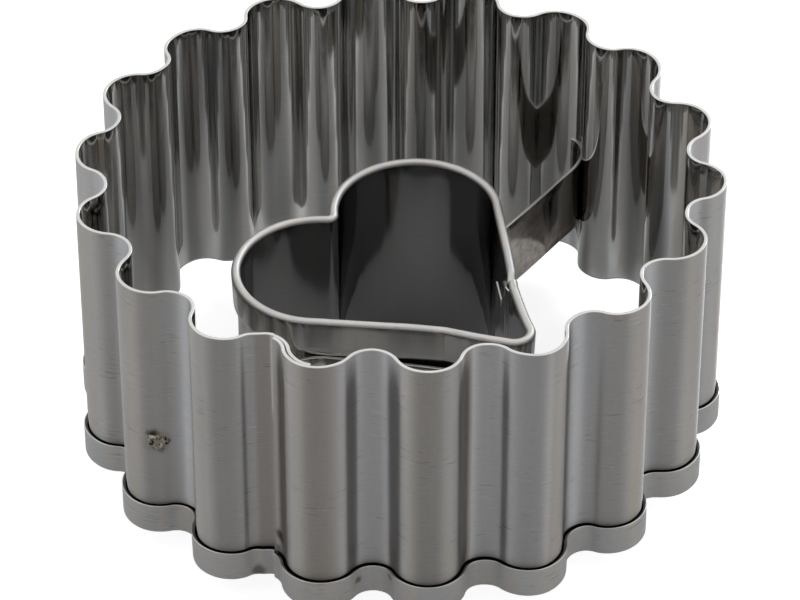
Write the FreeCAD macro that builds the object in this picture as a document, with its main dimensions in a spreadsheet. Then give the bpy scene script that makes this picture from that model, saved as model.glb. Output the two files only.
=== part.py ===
import FreeCAD, Part

"""Linzer cookie cutter: a fluted round cutter with a small heart cutter held inside it.

It is made of four pieces of thin stainless strip. The outer ring is fluted, its lower edge is
folded outwards into a hem and its two ends are lapped. The heart cutter has its hem at the top,
stands a little lower than the ring and is lapped on one flank. Two arms join the heart's flanks
to the ring. Z is up, and the origin is below the middle of the ring, level with the heart's
cutting edge. The heart points towards -Y. Lengths are in millimetres and angles in degrees.
"""
import math
import os

import Sketcher

SIZES = {
    # The strip that the ring and the heart are folded from
    "strip_thickness": 0.27,
    "hem_gap": 0.06,
    "slit_width": 0.14,
    # Outer ring
    "ring_diameter": 50.0,
    "ring_height": 23.0,
    "ring_lift": 2.2,
    "ring_hem": 2.7,
    "flute_count": 18,
    "flute_depth": 2.6,
    "flute_radius": 2.54,
    "ring_seam_angle": -158.7,
    "ring_lap_root": 0.7,
    # Heart cutter
    "heart_height": 16.75,
    "heart_hem": 2.95,
    "lobe_radius": 6.22,
    "lobe_spacing": 10.6,
    "lobe_forward": 3.36,
    "notch_radius": 0.75,
    "flank_lean": 39.0,
    "point_lean": 30.6,
    "point_reach": 14.7,
    "waist_radius": 2.5,
    "point_radius": 1.1,
    "heart_seam_setback": 0.5,
    "heart_lap_root": 0.6,
    "heart_lap_length": 4.5,
    "heart_lap_drop": 3.75,
    "heart_lap_slope": 2.2,
    "heart_lap_spring": 1.5,
    # Arms
    "arm_thickness": 0.25,
    "arm_height": 6.2,
    "arm_below_hem": 0.6,
    "arm_heart_bend": 4.4,
    "arm_ring_bend": 5.6,
    "arm_leg_spread": 2.5,
    "arm_leg_past_waist": 1.0,
    "arm_span_lean": 8.2,
    "arm_flange_start": -66.0,
    "arm_flange_end": -6.0,
    "seat_clearance": 0.02,
}

doc = FreeCAD.newDocument("linzer_cutter")
sheet = doc.addObject("Spreadsheet::Sheet", "Sizes")
for row, (alias, value) in enumerate(SIZES.items(), start=1):
    sheet.set("A%d" % row, alias)
    sheet.set("B%d" % row, str(value))
    sheet.setAlias("B%d" % row, alias)
doc.recompute()


def size(alias):
    """The value that the sheet holds for a size."""
    return float(sheet.get(alias))


# Plan geometry: a point is an (x, y) pair, and a path is a list of lines and arcs

def polar(radius, degrees, centre=(0.0, 0.0)):
    """The point at a radius and an angle about a centre."""
    turn = math.radians(degrees)
    return (centre[0] + radius * math.cos(turn), centre[1] + radius * math.sin(turn))


def bearing(start, end):
    """The direction from one point to another."""
    return math.degrees(math.atan2(end[1] - start[1], end[0] - start[0]))


def meet(first, first_direction, second, second_direction):
    """The point where two lines cross."""
    ax, ay = polar(1.0, first_direction)
    bx, by = polar(1.0, second_direction)
    gap_x, gap_y = second[0] - first[0], second[1] - first[1]
    along = (gap_x * by - gap_y * bx) / (ax * by - ay * bx)
    return (first[0] + along * ax, first[1] + along * ay)


def line(start, end):
    """A straight piece of a path."""
    return ("line", start, end)


def arc(centre, radius, start, end):
    """A round piece of a path, from one angle to another; a falling angle turns clockwise."""
    return ("arc", centre, radius, start, end)


def ends(piece):
    """The first and last points of a piece."""
    if piece[0] == "line":
        return piece[1], piece[2]
    _, centre, radius, start, end = piece
    return polar(radius, start, centre), polar(radius, end, centre)


def fillet(before, corner, after, radius):
    """The arc that rounds a corner between two straight runs."""
    inward = bearing(before, corner)
    turn = (bearing(corner, after) - inward + 180.0) % 360.0 - 180.0
    side = math.copysign(90.0, turn)
    touch = polar(-radius * math.tan(math.radians(abs(turn) / 2.0)), inward, corner)
    return arc(polar(radius, inward + side, touch), radius, inward - side, inward - side + turn)


def beside(piece, offset):
    """The piece that runs beside this one, offset to the left of its direction."""
    if piece[0] == "line":
        left = bearing(piece[1], piece[2]) + 90.0
        return line(polar(offset, left, piece[1]), polar(offset, left, piece[2]))
    _, centre, radius, start, end = piece
    return arc(centre, radius - math.copysign(1.0, end - start) * offset, start, end)


def backwards(piece):
    """The same piece, drawn from its end to its start."""
    if piece[0] == "line":
        return line(piece[2], piece[1])
    _, centre, radius, start, end = piece
    return arc(centre, radius, end, start)


def turned(piece, degrees):
    """The piece, turned about the origin."""
    def turn(point):
        return polar(math.hypot(*point), bearing((0.0, 0.0), point) + degrees)
    if piece[0] == "line":
        return line(turn(piece[1]), turn(piece[2]))
    _, centre, radius, start, end = piece
    return arc(turn(centre), radius, start + degrees, end + degrees)


def mirrored(piece):
    """The piece, mirrored in the Y axis."""
    if piece[0] == "line":
        return line((-piece[1][0], piece[1][1]), (-piece[2][0], piece[2][1]))
    _, centre, radius, start, end = piece
    return arc((-centre[0], centre[1]), radius, 180.0 - start, 180.0 - end)


def outline(left, right):
    """The closed outline between two runs of pieces, with straight lines where pieces don't meet."""
    around = left + [backwards(piece) for piece in reversed(right)]
    closed = []
    for piece, following in zip(around, around[1:] + around[:1]):
        closed.append(piece)
        here, there = ends(piece)[1], ends(following)[0]
        if math.dist(here, there) > 1e-7:
            closed.append(line(here, there))
    return closed


# Sketches

def origin_part(body, role):
    """One of the body's own planes or axes."""
    return next(part for part in body.Origin.OriginFeatures if part.Role == role)


def level_sketch(body, name, pieces, height="0"):
    """A sketch of pieces in plan, at a height that a formula gives."""
    sketch = body.newObject("Sketcher::SketchObject", name)
    sketch.AttachmentSupport = (origin_part(body, "XY_Plane"), [""])
    sketch.MapMode = "FlatFace"
    sketch.setExpression("AttachmentOffset.Base.z", height)
    draw(sketch, pieces)
    return sketch


def upright_sketch(body, name, pieces, place, direction):
    """A sketch on an upright plane: its x runs level from a place in a direction, its y up."""
    sketch = body.newObject("Sketcher::SketchObject", name)
    sketch.AttachmentSupport = (origin_part(body, "XZ_Plane"), [""])
    sketch.MapMode = "FlatFace"
    turn = FreeCAD.Rotation(FreeCAD.Vector(0, 1, 0), direction)
    sketch.AttachmentOffset = FreeCAD.Placement(FreeCAD.Vector(place[0], 0, -place[1]), turn)
    draw(sketch, pieces)
    return sketch


def draw(sketch, pieces):
    """Put pieces in a sketch and join each one to the next, smoothly where they run on."""
    for piece in pieces:
        if piece[0] == "line":
            first, last = (FreeCAD.Vector(x, y, 0) for x, y in ends(piece))
            sketch.addGeometry(Part.LineSegment(first, last))
        else:
            _, (x, y), radius, start, end = piece
            circle = Part.Circle(FreeCAD.Vector(x, y, 0), FreeCAD.Vector(0, 0, 1), radius)
            low, high = sorted((math.radians(start), math.radians(end)))
            sketch.addGeometry(Part.ArcOfCircle(circle, low, high))
    count = len(pieces)
    for index in range(count):
        other = (index + 1) % count
        if math.dist(ends(pieces[index])[1], ends(pieces[other])[0]) > 1e-7:
            continue
        kind = "Tangent" if runs_on(pieces[index], pieces[other]) else "Coincident"
        corner = (index, end_number(pieces[index], True), other, end_number(pieces[other], False))
        sketch.addConstraint(Sketcher.Constraint(kind, *corner))


def heading(piece, last):
    """The direction of a piece at its last or its first point."""
    if piece[0] == "line":
        return bearing(piece[1], piece[2])
    _, _, _, start, end = piece
    return (end if last else start) + math.copysign(90.0, end - start)


def runs_on(piece, following):
    """Whether the next piece starts in the direction in which this one ends."""
    bend = (heading(following, False) - heading(piece, True) + 180.0) % 360.0 - 180.0
    return abs(bend) < 1e-6


def end_number(piece, last):
    """The number that a sketch gives to a piece's last or first point."""
    clockwise = piece[0] == "arc" and piece[4] < piece[3]
    return 2 if last != clockwise else 1


def bind(sketch, name, kind, where, formula):
    """Add a named dimension to a sketch, with its value from a formula on the sheet."""
    value = sheet.evalExpression(formula)
    if kind == "Angle":
        value = math.radians(value.Value)
    index = sketch.addConstraint(Sketcher.Constraint(kind, *where, float(value)))
    sketch.renameConstraint(index, name)
    sketch.setExpression("Constraints." + name, formula)


def from_axes(geometry, point):
    """Where a dimension from the sketch's own zero to a point is taken."""
    return (-1, 1, geometry, point)


# Features

def pipe(body, name, section, spine):
    """Carry an upright section along a level path."""
    feature = body.newObject("PartDesign::AdditivePipe", name)
    feature.Profile = section
    feature.Spine = (spine, [])
    body.Tip = feature
    return feature


def pad(body, name, sketch, length):
    """Raise a sketch by a length that a formula gives."""
    feature = body.newObject("PartDesign::Pad", name)
    feature.Profile = sketch
    feature.setExpression("Length", length)
    body.Tip = feature
    return feature


def slit(body, name, place, across):
    """Cut the strip right through, at a place and in a direction across it."""
    reach = 3.0 * size("strip_thickness") + size("hem_gap")
    half = size("slit_width") / 2.0
    middle = line(polar(-reach, across, place), polar(reach, across, place))
    plan = level_sketch(body, name + "_plan", outline([beside(middle, half)], [beside(middle, -half)]))
    feature = body.newObject("PartDesign::Pocket", name)
    feature.Profile = plan
    feature.Type = "ThroughAll"
    feature.SideType = "Symmetric"
    body.Tip = feature
    return feature


def hemmed_section(body, name, direction, wall, fold, raw, hem):
    """The section of a strip whose one edge is folded back on itself, on the outside.

    wall is the middle of the strip, fold the height of the folded edge, raw the height of the
    other edge and hem the length that is folded back. Each is a formula on the sheet.
    """
    thick, gap = size("strip_thickness"), size("hem_gap")
    middle, edge, foot, folded = (float(sheet.evalExpression(text)) for text in (wall, fold, raw, hem))
    up = math.copysign(1.0, foot - edge)
    inside, outside = middle - thick / 2.0, middle + thick / 2.0
    near, far = outside + gap, outside + gap + thick
    bend = edge + up * (thick + gap / 2.0)
    lip = edge + up * folded
    corners = [(inside, bend), (inside, foot), (outside, foot), (outside, bend),
               (near, bend), (near, lip), (far, lip), (far, bend)]
    pieces = [line(first, last) for first, last in zip(corners, corners[1:])]
    pieces.append(arc(((inside + far) / 2.0, bend), thick + gap / 2.0, 0.0, -180.0 * up))
    sketch = upright_sketch(body, name, pieces, (0.0, 0.0), direction)
    for index in (0, 2, 4, 6):
        sketch.addConstraint(Sketcher.Constraint("Vertical", index))
    for index in (1, 3, 5):
        sketch.addConstraint(Sketcher.Constraint("Horizontal", index))
    toward = "+" if up > 0 else "-"
    turn = "%s %s (Sizes.strip_thickness + Sizes.hem_gap / 2)" % (fold, toward)
    bind(sketch, "wall_inside", "DistanceX", from_axes(0, 1), wall + " - Sizes.strip_thickness / 2")
    bind(sketch, "wall_thickness", "Distance", (1,), "Sizes.strip_thickness")
    bind(sketch, "hem_thickness", "Distance", (5,), "Sizes.strip_thickness")
    bind(sketch, "gap_width", "Distance", (3,), "Sizes.hem_gap")
    bind(sketch, "fold_height", "DistanceY", from_axes(0, 1), turn)
    bind(sketch, "gap_height", "DistanceY", from_axes(3, 1), turn)
    bind(sketch, "hem_height", "DistanceY", from_axes(5, 1), "%s %s (%s)" % (fold, toward, hem))
    bind(sketch, "raw_height", "DistanceY", from_axes(1, 1), raw)
    return sketch


# Outer ring

def flute():
    """One flute of the ring's middle line, from the bottom of a valley on +X to the next one."""
    pitch = 360.0 / size("flute_count")
    tip = size("ring_diameter") / 2.0 - size("strip_thickness") / 2.0
    root = tip - size("flute_depth")
    crest_radius = size("flute_radius")
    crest_reach = tip - crest_radius
    lean = crest_reach * math.cos(math.radians(pitch / 2.0))
    valley_radius = ((crest_radius ** 2 - root ** 2 - crest_reach ** 2 + 2.0 * lean * root)
                     / (2.0 * (root - lean - crest_radius)))
    crest = polar(crest_reach, pitch / 2.0)
    valley = (root + valley_radius, 0.0)
    next_valley = polar(root + valley_radius, pitch)
    leave = bearing(valley, crest)
    arrive = bearing(next_valley, crest)
    return {
        "pitch": pitch, "root": root, "crest_reach": crest_reach, "crest": crest, "valley": valley,
        "valley_radius": valley_radius, "leave": leave,
        "path": [
            arc(valley, valley_radius, 180.0, leave),
            arc(crest, crest_radius, leave - 180.0, arrive + 180.0),
            arc(next_valley, valley_radius, arrive + 360.0, 180.0 + pitch),
        ],
    }


def flute_sketch(body, shape):
    """The path of one flute, tied to the sheet by its crest, its valley and its pitch."""
    spine = level_sketch(body, "flute_path", shape["path"])
    middle = FreeCAD.Vector(0, 0, 0)
    for end in (shape["crest"], polar(shape["root"], shape["pitch"])):
        spine.addGeometry(Part.LineSegment(middle, FreeCAD.Vector(end[0], end[1], 0)), True)
    to_crest, to_valley = 3, 4
    spine.addConstraint([
        Sketcher.Constraint("Coincident", to_crest, 1, -1, 1),
        Sketcher.Constraint("Coincident", to_valley, 1, -1, 1),
        Sketcher.Constraint("Coincident", to_crest, 2, 1, 3),
        Sketcher.Constraint("Coincident", to_valley, 2, 2, end_number(shape["path"][2], True)),
        Sketcher.Constraint("PointOnObject", 0, 3, -1),
        Sketcher.Constraint("PointOnObject", 0, end_number(shape["path"][0], False), -1),
        Sketcher.Constraint("PointOnObject", 2, 3, to_valley),
        Sketcher.Constraint("Equal", 0, 2),
    ])
    root = "Sizes.ring_diameter / 2 - Sizes.strip_thickness / 2 - Sizes.flute_depth"
    reach = "Sizes.ring_diameter / 2 - Sizes.strip_thickness / 2 - Sizes.flute_radius"
    bind(spine, "root", "DistanceX", from_axes(0, end_number(shape["path"][0], False)), root)
    bind(spine, "crest_reach", "Distance", (to_crest,), reach)
    bind(spine, "crest_radius", "Radius", (1,), "Sizes.flute_radius")
    bind(spine, "half_pitch", "Angle", (to_crest,), "180 deg / Sizes.flute_count")
    bind(spine, "pitch", "Angle", (to_valley,), "360 deg / Sizes.flute_count")
    return spine


def outer_ring():
    """The fluted ring: a hemmed flute repeated round the axis, slit at the seam and lapped inside."""
    shape = flute()
    body = doc.addObject("PartDesign::Body", "outer_ring")
    spine = flute_sketch(body, shape)
    root = "Sizes.ring_diameter / 2 - Sizes.strip_thickness / 2 - Sizes.flute_depth"
    section = hemmed_section(body, "ring_section", 0.0, root, "Sizes.ring_lift",
                             "Sizes.ring_lift + Sizes.ring_height", "Sizes.ring_hem")
    wall = pipe(body, "hemmed_flute", section, spine)
    ring = body.newObject("PartDesign::PolarPattern", "flutes")
    ring.Originals = [wall]
    ring.Axis = (origin_part(body, "Z_Axis"), [""])
    ring.Angle = 360.0
    ring.setExpression("Occurrences", "Sizes.flute_count")
    body.Tip = ring

    # The outer end of the strip stops just past the bottom of a valley
    valley_turn = shape["pitch"] * round(size("ring_seam_angle") / shape["pitch"])
    valley, valley_radius = shape["valley"], shape["valley_radius"]
    seam_bearing = bearing(valley, polar(shape["root"], size("ring_seam_angle") - valley_turn))
    seam = polar(valley_radius, seam_bearing, valley)
    seam_turned = ends(turned(line(seam, seam), valley_turn))[0]
    slit(body, "ring_slit", seam_turned, seam_bearing + valley_turn)

    # The inner end steps in by the strip's thickness and follows the wall to the next crest
    near = size("strip_thickness") / 2.0 + size("hem_gap")
    far = near + size("strip_thickness")
    root_end = seam_bearing + math.degrees((size("slit_width") / 2.0 + size("hem_gap")) / valley_radius)
    root_start = root_end + math.degrees(size("ring_lap_root") / valley_radius)
    rising = arc(shape["crest"], size("flute_radius"), shape["leave"] - 180.0, shape["pitch"] / 2.0)
    inner_side = [beside(arc(valley, valley_radius, root_start, shape["leave"]), far), beside(rising, far)]
    wall_side = [arc(valley, valley_radius, root_start, root_end),
                 beside(arc(valley, valley_radius, root_end, shape["leave"]), near), beside(rising, near)]
    lap = [turned(piece, valley_turn) for piece in outline(inner_side, wall_side)]
    plan = level_sketch(body, "ring_lap_plan", lap, "Sizes.ring_lift + Sizes.strip_thickness")
    pad(body, "ring_lap", plan, "Sizes.ring_height - Sizes.strip_thickness")
    return body


# Heart cutter

def heart():
    """Half of the heart's middle line, from the notch round the +X lobe to the point."""
    lobe = (size("lobe_spacing") / 2.0, size("lobe_forward"))
    reach = size("lobe_radius") + size("notch_radius")
    notch = (0.0, lobe[1] + math.sqrt(reach ** 2 - lobe[0] ** 2))
    notch_arc = arc(notch, size("notch_radius"), -90.0, bearing(notch, lobe))
    lobe_arc = arc(lobe, size("lobe_radius"), bearing(lobe, notch), -size("flank_lean"))
    flank = ends(lobe_arc)[1]
    apex = (0.0, -size("point_reach"))
    waist = meet(flank, -90.0 - size("flank_lean"), apex, -90.0 - size("point_lean"))
    waist_arc = fillet(flank, waist, apex, size("waist_radius"))
    point_rise = size("point_radius") / math.sin(math.radians(size("point_lean")))
    point_arc = arc((0.0, apex[1] + point_rise), size("point_radius"), -size("point_lean"), -90.0)
    flank_line = line(flank, ends(waist_arc)[0])
    point_line = line(ends(waist_arc)[1], ends(point_arc)[0])
    return {
        "flank_line": flank_line, "waist": waist,
        "path": [notch_arc, lobe_arc, flank_line, waist_arc, point_line, point_arc],
    }


def heart_sketch(body, shape):
    """The path of half the heart, tied to the sheet by its radii, centres and leans."""
    spine = level_sketch(body, "heart_path", shape["path"])
    notch, lobe, flank, waist, point_line, point = range(6)
    spine.addConstraint([
        Sketcher.Constraint("PointOnObject", notch, 3, -2),
        Sketcher.Constraint("PointOnObject", notch, end_number(shape["path"][notch], False), -2),
        Sketcher.Constraint("PointOnObject", point, 3, -2),
        Sketcher.Constraint("PointOnObject", point, end_number(shape["path"][point], True), -2),
    ])
    bind(spine, "notch_radius", "Radius", (notch,), "Sizes.notch_radius")
    bind(spine, "lobe_radius", "Radius", (lobe,), "Sizes.lobe_radius")
    bind(spine, "lobe_across", "DistanceX", from_axes(lobe, 3), "Sizes.lobe_spacing / 2")
    bind(spine, "lobe_forward", "DistanceY", from_axes(lobe, 3), "Sizes.lobe_forward")
    bind(spine, "flank_lean", "Angle", (flank,), "-90 deg - Sizes.flank_lean * 1 deg")
    bind(spine, "waist_radius", "Radius", (waist,), "Sizes.waist_radius")
    bind(spine, "point_lean", "Angle", (point_line,), "-90 deg - Sizes.point_lean * 1 deg")
    bind(spine, "point_radius", "Radius", (point,), "Sizes.point_radius")
    reach = "Sizes.point_reach - Sizes.point_radius / sin(Sizes.point_lean * 1 deg)"
    bind(spine, "point_centre", "DistanceY", (point, 3, -1, 1), reach)
    return spine


def heart_cutter():
    """The heart: half of it swept and mirrored, slit on the +X flank and lapped inside."""
    shape = heart()
    body = doc.addObject("PartDesign::Body", "heart_cutter")
    spine = heart_sketch(body, shape)
    notch_foot = ("Sizes.lobe_forward - Sizes.notch_radius"
                  " + sqrt((Sizes.lobe_radius + Sizes.notch_radius) ^ 2 - (Sizes.lobe_spacing / 2) ^ 2)")
    section = hemmed_section(body, "heart_section", 90.0, notch_foot, "Sizes.heart_height",
                             "0", "Sizes.heart_hem")
    half = pipe(body, "hemmed_half", section, spine)
    whole = body.newObject("PartDesign::Mirrored", "both_halves")
    whole.Originals = [half]
    whole.MirrorPlane = (origin_part(body, "YZ_Plane"), [""])
    body.Tip = whole

    # The strip's two ends meet on the flank, a little above the waist
    up_flank = 90.0 - size("flank_lean")
    seam = polar(size("heart_seam_setback"), up_flank, ends(shape["flank_line"])[1])
    slit(body, "heart_slit", seam, up_flank + 90.0)

    # The lower end steps in and runs on inside, with its top corner cut off and its tip sprung in
    far = 1.5 * size("strip_thickness") + size("hem_gap")
    root_top = polar(-size("slit_width") / 2.0 - size("hem_gap"), up_flank, seam)
    root = line(polar(-size("heart_lap_root"), up_flank, root_top), root_top)
    plan = level_sketch(body, "heart_lap_root_plan", outline([beside(root, far)], [root]))
    pad(body, "heart_lap_joint", plan, "Sizes.heart_height - Sizes.strip_thickness")
    top = size("heart_height") - size("strip_thickness")
    shoulder = size("heart_height") - size("heart_lap_drop")
    back = -size("slit_width") / 2.0 - size("hem_gap") - size("heart_lap_root")
    slope, tip = size("heart_lap_slope"), size("heart_lap_length")
    corners = [(back, 0.0), (tip, 0.0), (tip, shoulder), (slope, shoulder), (0.0, top), (back, top)]
    sides = [line(first, last) for first, last in zip(corners, corners[1:] + corners[:1])]
    inner_face = polar(far, up_flank + 90.0, seam)
    plate = upright_sketch(body, "heart_lap_side", sides, inner_face, up_flank + size("heart_lap_spring"))
    bind(plate, "lap_shoulder", "DistanceY", from_axes(3, 1), "Sizes.heart_height - Sizes.heart_lap_drop")
    bind(plate, "lap_tip", "DistanceX", from_axes(1, 1), "Sizes.heart_lap_length")
    pad(body, "heart_lap", plate, "Sizes.strip_thickness")
    return body


# Arms

def arm_path(crest_angle):
    """The middle line of the arm on the +X side, from beside the heart's waist to the ring.

    Its leg lies along the heart's flank, its span crosses to the ring, and its flange lies on the
    inner face of the flute whose crest is at the angle given.
    """
    shape, ring = heart(), flute()
    near_radius, far_radius = size("arm_heart_bend"), size("arm_ring_bend")
    half_arm, half_strip = size("arm_thickness") / 2.0, size("strip_thickness") / 2.0
    seat = half_strip + size("seat_clearance") + half_arm
    crest = polar(ring["crest_reach"], crest_angle)
    flange_radius = size("flute_radius") - seat
    flange_start = crest_angle + size("arm_flange_start")
    flange = arc(crest, flange_radius, flange_start, crest_angle + size("arm_flange_end"))
    span_lean = size("arm_span_lean")
    ring_centre = polar(flange_radius - far_radius, flange_start, crest)
    ring_bend = arc(ring_centre, far_radius, span_lean - 90.0, flange_start)
    span_end = ends(ring_bend)[0]
    up_flank = 90.0 - size("flank_lean")
    beside_flank = polar(seat + near_radius, up_flank - 90.0, ends(shape["flank_line"])[0])
    below_span = polar(near_radius, span_lean - 90.0, span_end)
    leg_heading = up_flank + size("arm_leg_spread")
    heart_bend = arc(meet(beside_flank, up_flank, below_span, span_lean), near_radius,
                     leg_heading + 90.0, span_lean + 90.0)
    leg_end, span_start = ends(heart_bend)
    leg_length = math.dist(leg_end, shape["waist"]) + size("arm_leg_past_waist")
    return [line(polar(-leg_length, leg_heading, leg_end), leg_end), heart_bend,
            line(span_start, span_end), ring_bend, flange]


def arm(name, path):
    """A flat strip on edge, bent along its path."""
    body = doc.addObject("PartDesign::Body", name)
    spine = level_sketch(body, name + "_path", path)
    bind(spine, "heart_bend", "Radius", (1,), "Sizes.arm_heart_bend")
    bind(spine, "ring_bend", "Radius", (3,), "Sizes.arm_ring_bend")
    half = size("arm_thickness") / 2.0
    top = "Sizes.heart_height - Sizes.heart_hem - Sizes.arm_below_hem"
    high = float(sheet.evalExpression(top))
    low = high - size("arm_height")
    corners = [(-half, low), (half, low), (half, high), (-half, high)]
    sides = [line(first, last) for first, last in zip(corners, corners[1:] + corners[:1])]
    section = upright_sketch(body, name + "_section", sides, ends(path[0])[0], heading(path[0], False) - 90.0)
    bind(section, "arm_thickness", "Distance", (0,), "Sizes.arm_thickness")
    bind(section, "arm_height", "Distance", (1,), "Sizes.arm_height")
    bind(section, "arm_top", "DistanceY", from_axes(2, 1), top)
    pipe(body, name + "_strip", section, spine)
    return body


def arms():
    """The two arms, mirror images about the heart's axis, each seated in the flute nearest to it."""
    pitch = 360.0 / size("flute_count")
    across = pitch / 2.0 + pitch * round((180.0 - pitch) / pitch)
    right = arm("arm_right", arm_path(pitch / 2.0))
    left = arm("arm_left", [mirrored(piece) for piece in arm_path(180.0 - across)])
    return [right, left]


nodes = [outer_ring(), heart_cutter()] + arms()
doc.recompute()

for item in doc.Objects:
    if "Invalid" in item.State or "Error" in item.State:
        raise RuntimeError("%s could not be made: %s" % (item.Label, item.State))
for node in nodes:
    shape = node.Shape
    if shape.isNull() or not shape.isValid() or len(shape.Solids) != 1:
        raise RuntimeError("%s is not one valid solid" % node.Label)

os.makedirs("parts", exist_ok=True)
for node in nodes:
    node.Shape.exportStep("parts/%s.step" % node.Label)
    box = node.Shape.BoundBox
    print("%-14s %8.1f mm3, %3d faces, x %.2f to %.2f, y %.2f to %.2f, z %.2f to %.2f"
          % (node.Label, node.Shape.Volume, len(node.Shape.Faces), box.XMin, box.XMax,
             box.YMin, box.YMax, box.ZMin, box.ZMax))
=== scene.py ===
# %% [markdown]
# A linzer cookie cutter in thin stainless strip
#
# The cutter is four strips of sheet metal: a fluted ring with a hem folded outwards at its foot,
# a heart with a hem at its rim, and two arms that join them. Sheet metal is all about edges and
# reflections, so this scene spends its effort on three things: smooth fine meshes for the strips,
# raw edges that catch the light, and a satin steel that mirrors the table softly.

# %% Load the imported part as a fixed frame
import math

import bpy
import numpy as np
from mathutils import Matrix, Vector


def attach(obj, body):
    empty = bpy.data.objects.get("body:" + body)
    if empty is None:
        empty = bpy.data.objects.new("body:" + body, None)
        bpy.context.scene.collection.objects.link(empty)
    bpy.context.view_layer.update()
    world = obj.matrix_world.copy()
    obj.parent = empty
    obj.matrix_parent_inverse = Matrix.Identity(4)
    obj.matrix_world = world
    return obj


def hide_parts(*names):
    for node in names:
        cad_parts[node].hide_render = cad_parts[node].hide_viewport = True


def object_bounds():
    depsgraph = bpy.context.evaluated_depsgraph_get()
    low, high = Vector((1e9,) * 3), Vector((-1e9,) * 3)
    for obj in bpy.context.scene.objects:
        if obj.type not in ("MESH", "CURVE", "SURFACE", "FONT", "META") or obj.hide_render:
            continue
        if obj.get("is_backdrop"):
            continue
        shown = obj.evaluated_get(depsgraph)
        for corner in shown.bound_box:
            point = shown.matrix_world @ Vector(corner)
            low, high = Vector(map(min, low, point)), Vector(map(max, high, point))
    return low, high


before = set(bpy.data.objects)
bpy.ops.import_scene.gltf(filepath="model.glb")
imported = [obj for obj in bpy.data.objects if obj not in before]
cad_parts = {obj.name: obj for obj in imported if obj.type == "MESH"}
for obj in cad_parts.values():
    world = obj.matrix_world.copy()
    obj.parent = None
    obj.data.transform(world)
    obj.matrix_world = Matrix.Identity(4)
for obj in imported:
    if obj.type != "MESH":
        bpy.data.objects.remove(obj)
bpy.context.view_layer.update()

scene = bpy.context.scene
MM = 0.001

# %% [markdown]
# The sizes of the strips
#
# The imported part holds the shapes, but a finer mesh needs the sizes they were drawn from. They are
# repeated here in millimetres, so that every new surface lies exactly where its solid lies.

# %% Sizes of the strips, in millimetres and degrees
STRIP = 0.27
HEM_GAP = 0.06
SLIT = 0.14
RING_TIP = 25.0 - STRIP / 2
RING_ROOT = RING_TIP - 2.6
CREST_RADIUS = 2.54
FLUTES = 18
PITCH = 360.0 / FLUTES
RING_FOOT = 2.2
RING_TOP = RING_FOOT + 23.0
RING_HEM = 2.7
SEAM_ANGLE = -158.7
HEART_TOP = 16.75
HEART_HEM = 2.95
LOBE_RADIUS = 6.22
LOBE_CENTRE = (5.3, 3.36)
NOTCH_RADIUS = 0.75
FLANK_LEAN = 39.0
POINT_LEAN = 30.6
POINT_REACH = 14.7
WAIST_RADIUS = 2.5
POINT_RADIUS = 1.1
HEART_SEAM_SETBACK = 0.5
ARM = 0.25
ARM_TOP = HEART_TOP - HEART_HEM - 0.6
ARM_FOOT = ARM_TOP - 6.2
HEART_BEND = 4.4
RING_BEND = 5.6
LEG_SPREAD = 2.5
LEG_PAST_WAIST = 1.0
SPAN_LEAN = 8.2
FLANGE = (-66.0, -6.0)
SEAT = 0.02

# %% [markdown]
# The camera
#
# The photograph was taken from about 38 degrees above the table with a long lens, so the ring's
# near and far walls are almost the same size. The camera stands at the place that a fit to the
# rims gives, and the lens is written as a focal length on a 36 mm sensor.

# %% Camera
EYE = Vector((-188.3, -185.1, 219.9)) * MM
TARGET = Vector((0.31, 0.11, 12.05)) * MM
LENS, SENSOR = 194.4, 36.0
CLIP_NEAR, CLIP_FAR = 0.01, 20.0

camera_data = bpy.data.cameras.new("photo_camera")
camera_data.lens, camera_data.sensor_width = LENS, SENSOR
camera_data.clip_start, camera_data.clip_end = CLIP_NEAR, CLIP_FAR
camera = bpy.data.objects.new("photo_camera", camera_data)
camera.location = EYE
camera.rotation_mode = "QUATERNION"
camera.rotation_quaternion = (TARGET - EYE).to_track_quat("-Z", "Y")
scene.collection.objects.link(camera)
scene.camera = camera
scene.view_settings.view_transform = "Standard"
print("camera distance in mm:", round((TARGET - EYE).length / MM, 1))

# %% [markdown]
# The table and the light
#
# A vertical wall seen from above mirrors the table in front of it, so the table sets the grey of
# the whole outside. It is a pale matt surface. The camera is shown a lifted, almost white version
# of it through the Light Path node, while the metal sees the table as it is lit. The room is white
# but for one dark side, a fixed direction where the photographer stood, which is what gives the
# near crests their brown bands. A wide lamp overhead and a small cool one at the side do the rest.

# %% Helpers for shader nodes
def new_material(name):
    """An empty node material with its output node."""
    material = bpy.data.materials.new(name)
    material.use_nodes = True
    nodes = material.node_tree.nodes
    nodes.clear()
    output = nodes.new("ShaderNodeOutputMaterial")
    return material, nodes, material.node_tree.links, output


def set_inputs(node, **values):
    """Set sockets by name, with underscores for spaces."""
    for name, value in values.items():
        node.inputs[name.replace("_", " ")].default_value = value
    return node


def maths(tree, operation, *parts):
    """A maths node in a tree, on numbers and sockets."""
    node = tree.nodes.new("ShaderNodeMath")
    node.operation = operation
    for socket, part in zip(node.inputs, parts):
        if isinstance(part, (int, float)):
            socket.default_value = part
        else:
            tree.links.new(part, socket)
    return node.outputs[0]


def ramp(tree, value, low, high):
    """A smooth step from 0 at low to 1 at high."""
    node = set_inputs(tree.nodes.new("ShaderNodeMapRange"), From_Min=low, From_Max=high)
    node.interpolation_type = "SMOOTHSTEP"
    tree.links.new(value, node.inputs["Value"])
    return node.outputs[0]


def mixed(tree, factor, first, second):
    """A colour that goes from the first to the second, each a tuple or a socket, as factor goes to 1."""
    node = tree.nodes.new("ShaderNodeMix")
    node.data_type = "RGBA"
    tree.links.new(factor, node.inputs["Factor"])
    for name, colour in (("A", first), ("B", second)):
        if isinstance(colour, tuple):
            node.inputs[name].default_value = (*colour, 1)
        else:
            tree.links.new(colour, node.inputs[name])
    return node.outputs["Result"]


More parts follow.
